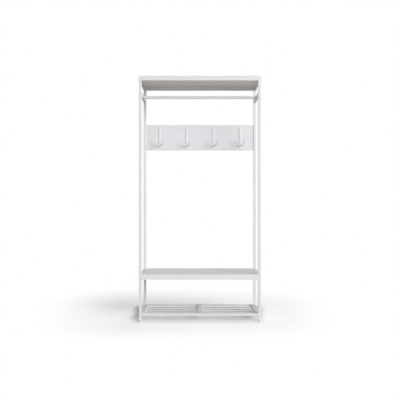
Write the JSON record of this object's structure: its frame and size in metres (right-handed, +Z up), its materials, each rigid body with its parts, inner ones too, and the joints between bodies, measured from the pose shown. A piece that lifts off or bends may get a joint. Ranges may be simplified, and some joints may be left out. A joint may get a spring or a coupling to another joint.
{
  "type": "coat stand",
  "caption": "White metal hall stand with a top shelf, hanging rod, panel of double-prong coat hooks, bench seat and open-bar shoe rack.",
  "frame": {"origin": "on the floor, under the middle of the stand", "axes": "+X to the right seen from the front, +Y to the back, +Z up along the posts"},
  "size_m": [0.9, 0.35, 1.808],
  "materials": {
    "coated_tube": "satin white powder coat",
    "coated_sheet": "satin white powder coat",
    "coated_casting": "smooth white powder coat",
    "plug_plastic": "moulded",
    "foot_plastic": "moulded"
  },
  "bodies": {
    "stand": {"bench_seat": "coated_sheet", "coat_hook_1": "coated_casting", "coat_hook_2": "coated_casting", "coat_hook_3": "coated_casting", "coat_hook_4": "coated_casting", "foot_plugs": "plug_plastic", "hanging_rod": "coated_tube", "hook_panel": "coated_sheet", "left_bench_rail": "coated_tube", "left_front_post": "coated_tube", "left_rack_end_bar": "coated_tube", "left_rear_post": "coated_tube", "left_rod_rail": "coated_tube", "left_seat_stiffener": "coated_sheet", "left_shoe_bar_1": "coated_tube", "left_shoe_bar_2": "coated_tube", "left_shoe_bar_3": "coated_tube", "left_shoe_bar_4": "coated_tube", "left_shoe_rail": "coated_tube", "rack_front_rail": "coated_tube", "rack_middle_bar": "coated_tube", "rack_rear_rail": "coated_tube", "right_bench_rail": "coated_tube", "right_front_post": "coated_tube", "right_rack_end_bar": "coated_tube", "right_rear_post": "coated_tube", "right_rod_rail": "coated_tube", "right_seat_stiffener": "coated_sheet", "right_shoe_bar_1": "coated_tube", "right_shoe_bar_2": "coated_tube", "right_shoe_bar_3": "coated_tube", "right_shoe_bar_4": "coated_tube", "right_shoe_rail": "coated_tube", "top_shelf": "coated_sheet"},
    "left_front_foot": {"left_front_foot": "foot_plastic"},
    "left_rear_foot": {"left_rear_foot": "foot_plastic"},
    "right_front_foot": {"right_front_foot": "foot_plastic"},
    "right_rear_foot": {"right_rear_foot": "foot_plastic"}
  },
  "joints": [
    {"name": "left_front_foot_height", "type": "slide", "parent": "stand", "child": "left_front_foot", "axis": [0, 0, -1], "range_m": [0, 0.012]},
    {"name": "left_rear_foot_height", "type": "slide", "parent": "stand", "child": "left_rear_foot", "axis": [0, 0, -1], "range_m": [0, 0.012]},
    {"name": "right_front_foot_height", "type": "slide", "parent": "stand", "child": "right_front_foot", "axis": [0, 0, -1], "range_m": [0, 0.012]},
    {"name": "right_rear_foot_height", "type": "slide", "parent": "stand", "child": "right_rear_foot", "axis": [0, 0, -1], "range_m": [0, 0.012]}
  ]
}
